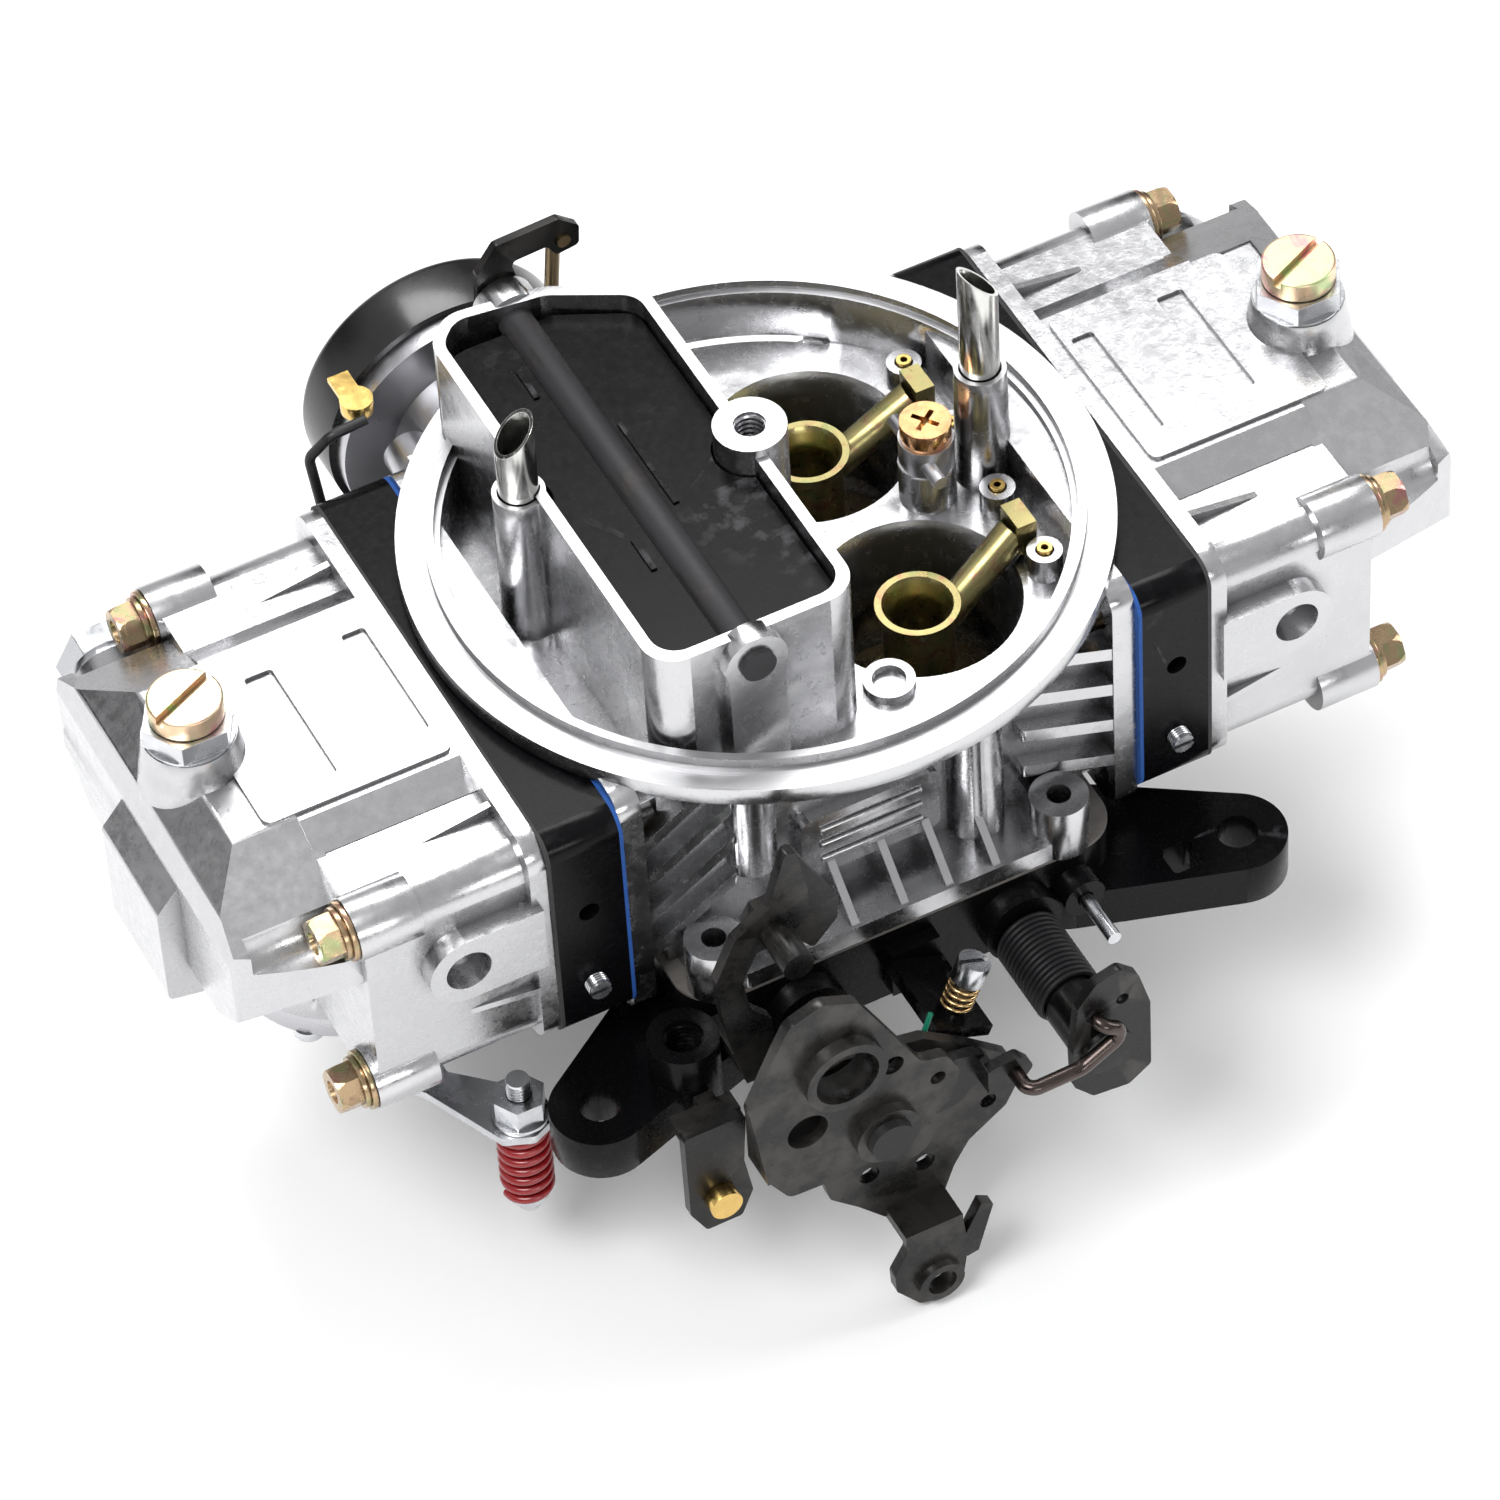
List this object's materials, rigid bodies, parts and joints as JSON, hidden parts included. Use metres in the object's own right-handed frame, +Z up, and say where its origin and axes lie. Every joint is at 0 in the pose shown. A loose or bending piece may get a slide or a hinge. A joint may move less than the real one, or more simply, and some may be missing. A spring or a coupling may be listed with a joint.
{
  "type": "carburetor",
  "caption": "Square-flange downdraft carburetor with centre-hung bowls front and rear, electric choke, booster venturis and a mechanical secondary linkage.",
  "frame": {"origin": "centre of the base plate's mounting face, in the middle of its stud pattern", "axes": "+Z up out of the air horn, -X towards the primary (front) bowl, +X towards the secondary (rear) bowl, -Y the throttle linkage side, +Y the choke side"},
  "size_m": [0.279, 0.1935, 0.1753],
  "materials": {
    "throttle_base": "satin",
    "base_gasket": "matte",
    "main_body": "polished",
    "block_gaskets": "matte",
    "bowl_gaskets": "matte",
    "bowl_screws": "satin",
    "bowl_screw_washers": "satin",
    "idle_mixture_screws": "satin",
    "inlet_plugs": "satin",
    "needle_seats": "satin",
    "needle_nuts": "satin",
    "needle_lock_screws": "satin",
    "pump_covers": "satin",
    "pump_cover_screws": "satin",
    "primary_throttle_shaft": "satin",
    "primary_throttle_plates": "satin",
    "primary_plate_screws": "satin",
    "secondary_throttle_shaft": "satin",
    "secondary_throttle_plates": "satin",
    "secondary_plate_screws": "satin",
    "throttle_lever": "satin",
    "pump_cam": "gloss",
    "secondary_drive_lever": "satin",
    "secondary_link_rod": "satin",
    "secondary_lever": "satin",
    "secondary_return_spring": "satin",
    "idle_speed_screw": "satin",
    "idle_speed_spring": "satin",
    "side_bracket": "satin",
    "side_bracket_pin": "satin",
    "stop_bracket": "satin",
    "stop_bolt": "satin",
    "lever_wire_tag": "matte",
    "vacuum_stub": "satin",
    "vent_tubes": "polished",
    "boosters": "satin",
    "squirters": "satin",
    "squirter_screws": "satin",
    "air_bleeds": "satin",
    "choke_plate": "gloss",
    "choke_shaft": "satin",
    "choke_lever": "satin",
    "choke_rod": "satin",
    "choke_housing": "satin",
    "thermostat_lever": "satin",
    "choke_cap": "gloss",
    "choke_terminal": "satin",
    "choke_ground_wire": "matte",
    "primary_metering_block": "gloss",
    "secondary_metering_block": "gloss",
    "primary_bowl": "satin",
    "secondary_bowl": "satin",
    "primary_float": "satin",
    "secondary_float": "satin",
    "primary_pump_lever": "satin",
    "secondary_pump_lever": "satin",
    "primary_pump_bolt": "satin",
    "secondary_pump_bolt": "satin",
    "primary_pump_spring": "satin",
    "secondary_pump_spring": "satin"
  },
  "bodies": {
    "carburetor": {"throttle_base": "throttle_base", "base_gasket": "base_gasket", "main_body": "main_body", "block_gaskets": "block_gaskets", "bowl_gaskets": "bowl_gaskets", "bowl_screws": "bowl_screws", "bowl_screw_washers": "bowl_screw_washers", "idle_mixture_screws": "idle_mixture_screws", "inlet_plugs": "inlet_plugs", "needle_seats": "needle_seats", "needle_nuts": "needle_nuts", "needle_lock_screws": "needle_lock_screws", "pump_covers": "pump_covers", "pump_cover_screws": "pump_cover_screws", "secondary_return_spring": "secondary_return_spring", "idle_speed_screw": "idle_speed_screw", "idle_speed_spring": "idle_speed_spring", "side_bracket": "side_bracket", "side_bracket_pin": "side_bracket_pin", "stop_bracket": "stop_bracket", "stop_bolt": "stop_bolt", "vacuum_stub": "vacuum_stub", "vent_tubes": "vent_tubes", "boosters": "boosters", "squirters": "squirters", "squirter_screws": "squirter_screws", "air_bleeds": "air_bleeds", "choke_housing": "choke_housing", "choke_cap": "choke_cap", "choke_terminal": "choke_terminal", "choke_ground_wire": "choke_ground_wire", "primary_metering_block": "primary_metering_block", "secondary_metering_block": "secondary_metering_block", "primary_bowl": "primary_bowl", "secondary_bowl": "secondary_bowl"},
    "primary_throttle": {"primary_throttle_shaft": "primary_throttle_shaft", "primary_throttle_plates": "primary_throttle_plates", "primary_plate_screws": "primary_plate_screws", "throttle_lever": "throttle_lever", "pump_cam": "pump_cam", "lever_wire_tag": "lever_wire_tag"},
    "secondary_throttle": {"secondary_throttle_shaft": "secondary_throttle_shaft", "secondary_throttle_plates": "secondary_throttle_plates", "secondary_plate_screws": "secondary_plate_screws", "secondary_lever": "secondary_lever"},
    "secondary_drive": {"secondary_drive_lever": "secondary_drive_lever"},
    "link_rod": {"secondary_link_rod": "secondary_link_rod"},
    "choke": {"choke_plate": "choke_plate", "choke_shaft": "choke_shaft", "choke_lever": "choke_lever"},
    "choke_rod": {"choke_rod": "choke_rod"},
    "thermostat": {"thermostat_lever": "thermostat_lever"},
    "primary_float": {"primary_float": "primary_float"},
    "secondary_float": {"secondary_float": "secondary_float"},
    "primary_pump": {"primary_pump_lever": "primary_pump_lever", "primary_pump_bolt": "primary_pump_bolt", "primary_pump_spring": "primary_pump_spring"},
    "secondary_pump": {"secondary_pump_lever": "secondary_pump_lever", "secondary_pump_bolt": "secondary_pump_bolt", "secondary_pump_spring": "secondary_pump_spring"}
  },
  "joints": [
    {"name": "primary_throttle_turn", "type": "hinge", "parent": "carburetor", "child": "primary_throttle", "pos_m": [-0.0245, -0.05, 0.0065], "axis": [0, 1, 0], "range_deg": [0, 74], "stiffness_Nm_per_rad": 0.12, "springref_deg": -34.38},
    {"name": "secondary_throttle_turn", "type": "hinge", "parent": "carburetor", "child": "secondary_throttle", "pos_m": [0.023, -0.05, 0.0065], "axis": [0, 1, 0], "range_deg": [-74, 0]},
    {"name": "secondary_drive_turn", "type": "hinge", "parent": "carburetor", "child": "secondary_drive", "pos_m": [-0.0245, -0.09, 0.0065], "axis": [0, 1, 0], "range_deg": [0, 34.5]},
    {"name": "link_rod_swing", "type": "hinge", "parent": "secondary_drive", "child": "link_rod", "pos_m": [0.004, -0.095, 0.008], "axis": [0, 1, 0], "range_deg": [-57, 0]},
    {"name": "choke_turn", "type": "hinge", "parent": "carburetor", "child": "choke", "pos_m": [-0.0245, 0, 0.0986], "axis": [0, 1, 0], "range_deg": [0, 80], "stiffness_Nm_per_rad": 0.02, "springref_deg": -45.84},
    {"name": "choke_rod_swing", "type": "hinge", "parent": "choke", "child": "choke_rod", "pos_m": [-0.01, 0.0625, 0.1084], "axis": [0, 1, 0], "range_deg": [-90, 0]},
    {"name": "thermostat_turn", "type": "hinge", "parent": "carburetor", "child": "thermostat", "pos_m": [-0.03, 0.064, 0.057], "axis": [0, 1, 0], "range_deg": [0, 70]},
    {"name": "primary_float_drop", "type": "hinge", "parent": "carburetor", "child": "primary_float", "pos_m": [-0.127, 0, 0.044], "axis": [0, 1, 0], "range_deg": [0, 12]},
    {"name": "secondary_float_drop", "type": "hinge", "parent": "carburetor", "child": "secondary_float", "pos_m": [0.127, 0, 0.044], "axis": [0, 1, 0], "range_deg": [-12, 0]},
    {"name": "primary_pump_stroke", "type": "hinge", "parent": "carburetor", "child": "primary_pump", "pos_m": [-0.0964, -0.027, -0.0005], "axis": [1, 0, 0], "range_deg": [0, 10]},
    {"name": "secondary_pump_stroke", "type": "hinge", "parent": "carburetor", "child": "secondary_pump", "pos_m": [0.0964, 0.027, -0.0005], "axis": [1, 0, 0], "range_deg": [-10, 0]}
  ],
  "couplings": [
    {"joint": "secondary_throttle_turn", "follows": "primary_throttle_turn", "ratio": -1},
    {"joint": "secondary_drive_turn", "follows": "primary_throttle_turn", "ratio": 0.46},
    {"joint": "link_rod_swing", "follows": "primary_throttle_turn", "ratio": -0.753},
    {"joint": "choke_rod_swing", "follows": "choke_turn", "ratio": -1.055},
    {"joint": "thermostat_turn", "follows": "choke_turn", "ratio": 0.82},
    {"joint": "primary_pump_stroke", "follows": "primary_throttle_turn", "ratio": 0.1333},
    {"joint": "secondary_pump_stroke", "follows": "primary_throttle_turn", "ratio": -0.1333}
  ]
}
